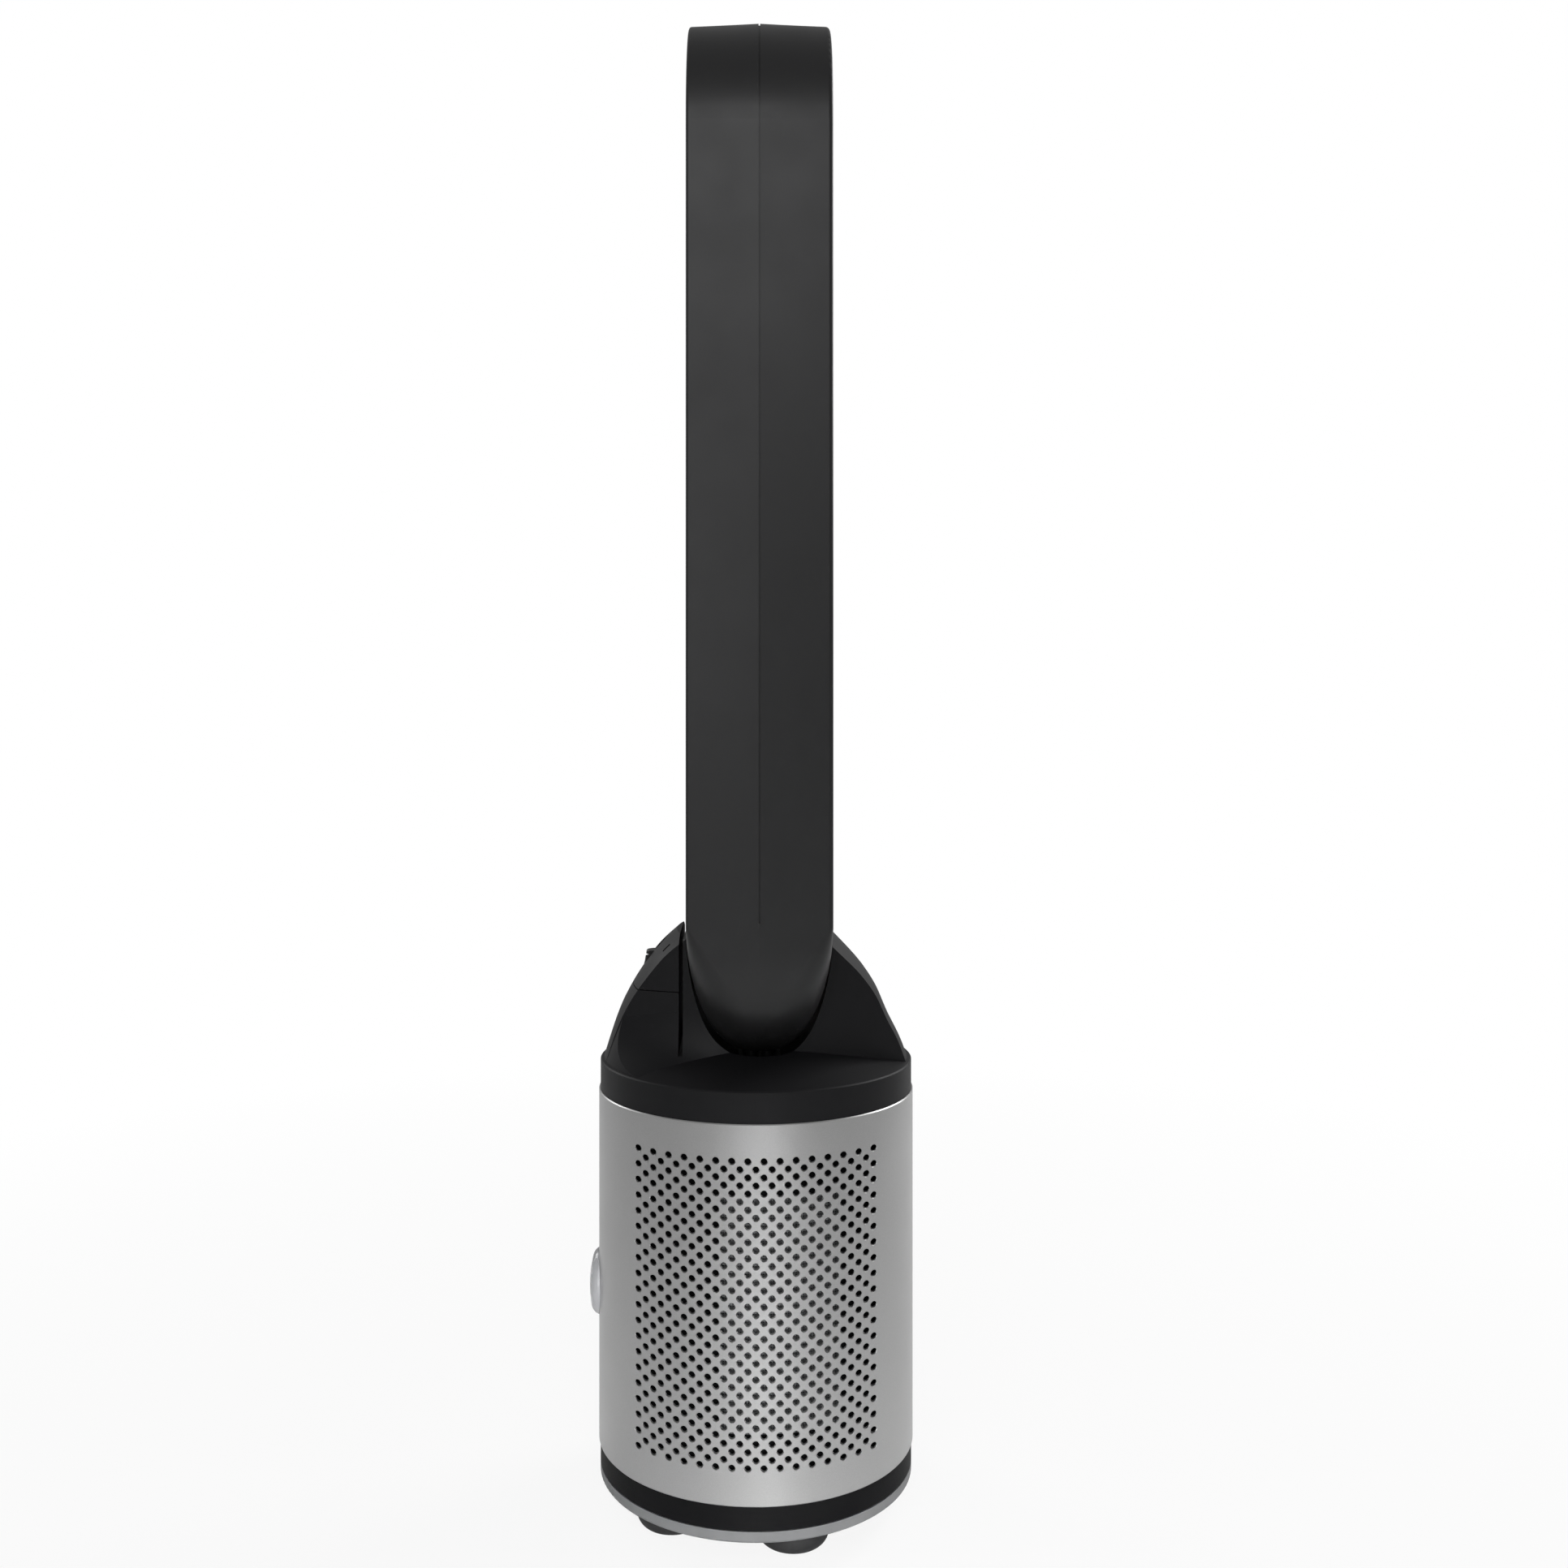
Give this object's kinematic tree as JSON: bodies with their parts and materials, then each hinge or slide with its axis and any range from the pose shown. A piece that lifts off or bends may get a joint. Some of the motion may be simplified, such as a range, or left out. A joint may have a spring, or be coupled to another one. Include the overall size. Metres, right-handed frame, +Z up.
{
  "type": "bladeless tower fan",
  "caption": "Bladeless tower fan: a hollow upright loop blows air that an impeller draws in through a perforated drum, which swivels on a low base; a press-and-turn knob sits in front.",
  "frame": {"origin": "on the swivel axis, in the plane that the feet stand on", "axes": "+Z up along the swivel axis; the front, where the air leaves, faces -Y; +X is the fan's left seen from the front"},
  "size_m": [0.214, 0.2203, 0.998],
  "materials": {
    "base_grey_abs": "moulded ABS, fine texture",
    "pom_white": "natural acetal, smooth",
    "foot_rubber": "moulded rubber, matt",
    "steel_zinc": "zinc-plated sheet steel",
    "screw_steel": "plated steel",
    "bearing_steel": "ground steel",
    "black_abs": "moulded ABS, satin",
    "black_nylon": "glass-filled nylon, matt",
    "board_green": "glass-epoxy board, solder mask",
    "silver_paint": "moulded ABS, silver metallic lacquer",
    "lens_grey": "moulded polycarbonate, light grey",
    "filter_mesh": "woven polyester mesh on a frame",
    "motor_copper": "laminated steel with lacquered copper coils",
    "magnet_ferrite": "sintered ferrite",
    "graphite_paint": "moulded ABS, graphite metallic lacquer, satin",
    "knob_graphite": "moulded ABS, graphite lacquer",
    "window_smoke": "smoked polycarbonate",
    "impeller_nylon": "glass-filled nylon, as moulded"
  },
  "bodies": {
    "base": {"base_plate": "base_grey_abs", "glide_ring": "pom_white", "rubber_feet": "foot_rubber", "ballast_plate": "steel_zinc", "fixed_gear": "pom_white", "retainer_washer": "steel_zinc", "retainer_screws": "screw_steel"},
    "tower": {"chassis": "black_abs", "pivot_bush": "pom_white", "oscillation_motor": "steel_zinc", "oscillation_motor_screws": "screw_steel", "power_inlet": "black_nylon", "main_board": "board_green", "right_shell": "silver_paint", "left_shell": "silver_paint", "front_lens": "lens_grey", "indicator_board": "board_green", "inner_drum": "black_abs", "right_filter": "filter_mesh", "left_filter": "filter_mesh", "fan_duct": "black_abs", "bell_mouth": "black_abs", "motor_stator": "motor_copper", "motor_bearings": "bearing_steel", "diffuser": "black_abs", "tail_cone": "black_abs", "duct_dampers": "foot_rubber", "cap": "graphite_paint", "cap_screws": "screw_steel", "air_funnel": "black_abs", "neck_gasket": "foot_rubber", "control_head": "graphite_paint", "sensor_windows": "window_smoke", "encoder_body": "black_nylon", "control_board": "board_green", "loop_front_shell": "graphite_paint", "loop_rear_shell": "graphite_paint", "loop_screws": "screw_steel"},
    "pinion": {"drive_pinion": "pom_white", "pinion_shaft": "bearing_steel"},
    "rotor": {"impeller": "impeller_nylon", "motor_shaft": "bearing_steel", "motor_rotor": "magnet_ferrite"},
    "plunger": {"encoder_plunger": "pom_white"},
    "knob": {"control_knob": "knob_graphite", "encoder_shaft": "bearing_steel"}
  },
  "joints": [
    {"name": "oscillation", "type": "hinge", "parent": "base", "child": "tower", "pos_m": [0, 0, 0.028], "axis": [0, 0, 1], "range_deg": [-45, 45]},
    {"name": "pinion_spin", "type": "hinge", "parent": "tower", "child": "pinion", "pos_m": [0, 0.045, 0.025], "axis": [0, 0, 1], "range_deg": [-185, 185]},
    {"name": "impeller_spin", "type": "hinge", "parent": "tower", "child": "rotor", "pos_m": [0, 0, 0.19], "axis": [0, 0, 1], "continuous": true},
    {"name": "knob_press", "type": "slide", "parent": "tower", "child": "plunger", "axis": [0, 0, -1], "range_m": [0, 0.0012], "stiffness_N_per_m": 500, "springref_m": -0.001},
    {"name": "knob_turn", "type": "hinge", "parent": "plunger", "child": "knob", "pos_m": [0, -0.0683, 0.365], "axis": [0, 0, 1], "continuous": true}
  ],
  "couplings": [
    {"joint": "pinion_spin", "follows": "oscillation", "ratio": 4}
  ]
}
